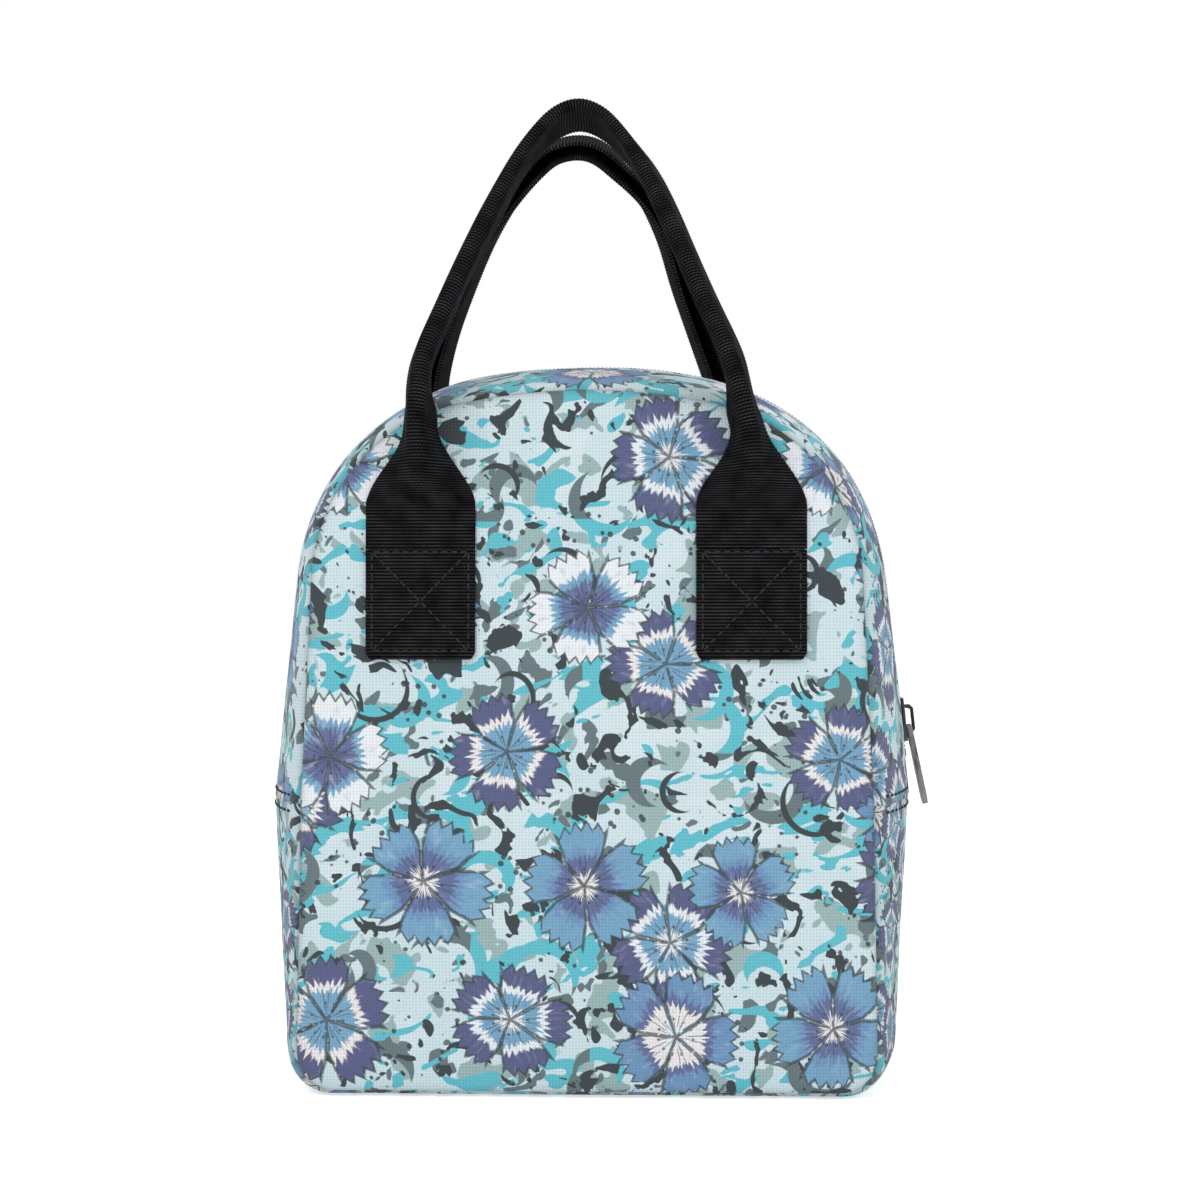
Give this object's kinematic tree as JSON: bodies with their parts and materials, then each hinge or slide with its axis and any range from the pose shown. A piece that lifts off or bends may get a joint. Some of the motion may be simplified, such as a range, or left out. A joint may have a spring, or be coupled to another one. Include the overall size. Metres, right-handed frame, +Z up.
{
  "type": "insulated lunch bag",
  "caption": "Soft insulated lunch bag with a dome-shaped printed panel front and back, a zip over the top and webbing carry handles.",
  "frame": {"origin": "centre of the flat base", "axes": "+Z up; -Y is the front; +X is the side where the closed zip's slider sits"},
  "size_m": [0.2419, 0.1592, 0.352],
  "materials": {
    "printed_canvas": "woven polyester canvas with a printed flower pattern",
    "foam": "closed-cell foam insulation",
    "lining": "reflective silver film lining",
    "binding": "woven binding tape",
    "zip_tape": "woven zip tape",
    "zip_coil": "nylon coil",
    "zip_metal": "black nickel plated",
    "webbing": "ribbed black polypropylene webbing",
    "thread": "black sewing thread"
  },
  "bodies": {
    "lower_bag": {"front_lower_panel": "printed_canvas", "back_lower_panel": "printed_canvas", "base_gusset": "printed_canvas", "strip_end_fabric": "printed_canvas", "front_lower_foam": "foam", "back_lower_foam": "foam", "base_foam": "foam", "strip_end_foam": "foam", "front_lower_lining": "lining", "back_lower_lining": "lining", "base_lining": "lining", "strip_end_lining": "lining", "front_lower_binding": "binding", "back_lower_binding": "binding", "zip_tape_ends": "zip_tape", "zip_coil_ends": "zip_coil", "zip_end_stops": "zip_metal", "side_seam_stitching": "thread"},
    "front_flap": {"front_upper_panel": "printed_canvas", "front_upper_foam": "foam", "front_upper_lining": "lining", "front_zip_strip": "printed_canvas", "front_zip_strip_foam": "foam", "front_zip_strip_lining": "lining", "front_upper_binding": "binding", "front_zip_tape": "zip_tape", "front_zip_coil": "zip_coil", "front_handle_anchors": "webbing", "front_anchor_stitching": "thread"},
    "back_flap": {"back_upper_panel": "printed_canvas", "back_upper_foam": "foam", "back_upper_lining": "lining", "back_zip_strip": "printed_canvas", "back_zip_strip_foam": "foam", "back_zip_strip_lining": "lining", "back_upper_binding": "binding", "back_zip_tape": "zip_tape", "back_zip_coil": "zip_coil", "back_handle_anchors": "webbing", "back_anchor_stitching": "thread"},
    "front_handle_body": {"front_handle": "webbing"},
    "back_handle_body": {"back_handle": "webbing"},
    "zip_slider": {"slider_body": "zip_metal", "slider_bridge": "zip_metal"},
    "zip_pull": {"slider_pull": "zip_metal"}
  },
  "joints": [
    {"name": "front_flap_open", "type": "hinge", "parent": "lower_bag", "child": "front_flap", "pos_m": [0, -0.06, 0.142], "axis": [1, 0, 0], "range_deg": [0, 32]},
    {"name": "back_flap_open", "type": "hinge", "parent": "lower_bag", "child": "back_flap", "pos_m": [0, 0.06, 0.142], "axis": [-1, 0, 0], "range_deg": [0, 32]},
    {"name": "front_handle_swing", "type": "hinge", "parent": "front_flap", "child": "front_handle_body", "pos_m": [0, -0.0618, 0.192], "axis": [1, 0, 0], "range_deg": [0, 150]},
    {"name": "back_handle_swing", "type": "hinge", "parent": "back_flap", "child": "back_handle_body", "pos_m": [0, 0.0618, 0.192], "axis": [-1, 0, 0], "range_deg": [0, 150]},
    {"name": "zip_slider_travel", "type": "slide", "parent": "lower_bag", "child": "zip_slider", "axis": [-0.107, 0, 0.9943], "range_m": [0, 0.04]},
    {"name": "zip_pull_swing", "type": "hinge", "parent": "zip_slider", "child": "zip_pull", "pos_m": [0.11795, 0, 0.12489], "axis": [0, -1, 0], "range_deg": [-5, 135]}
  ]
}
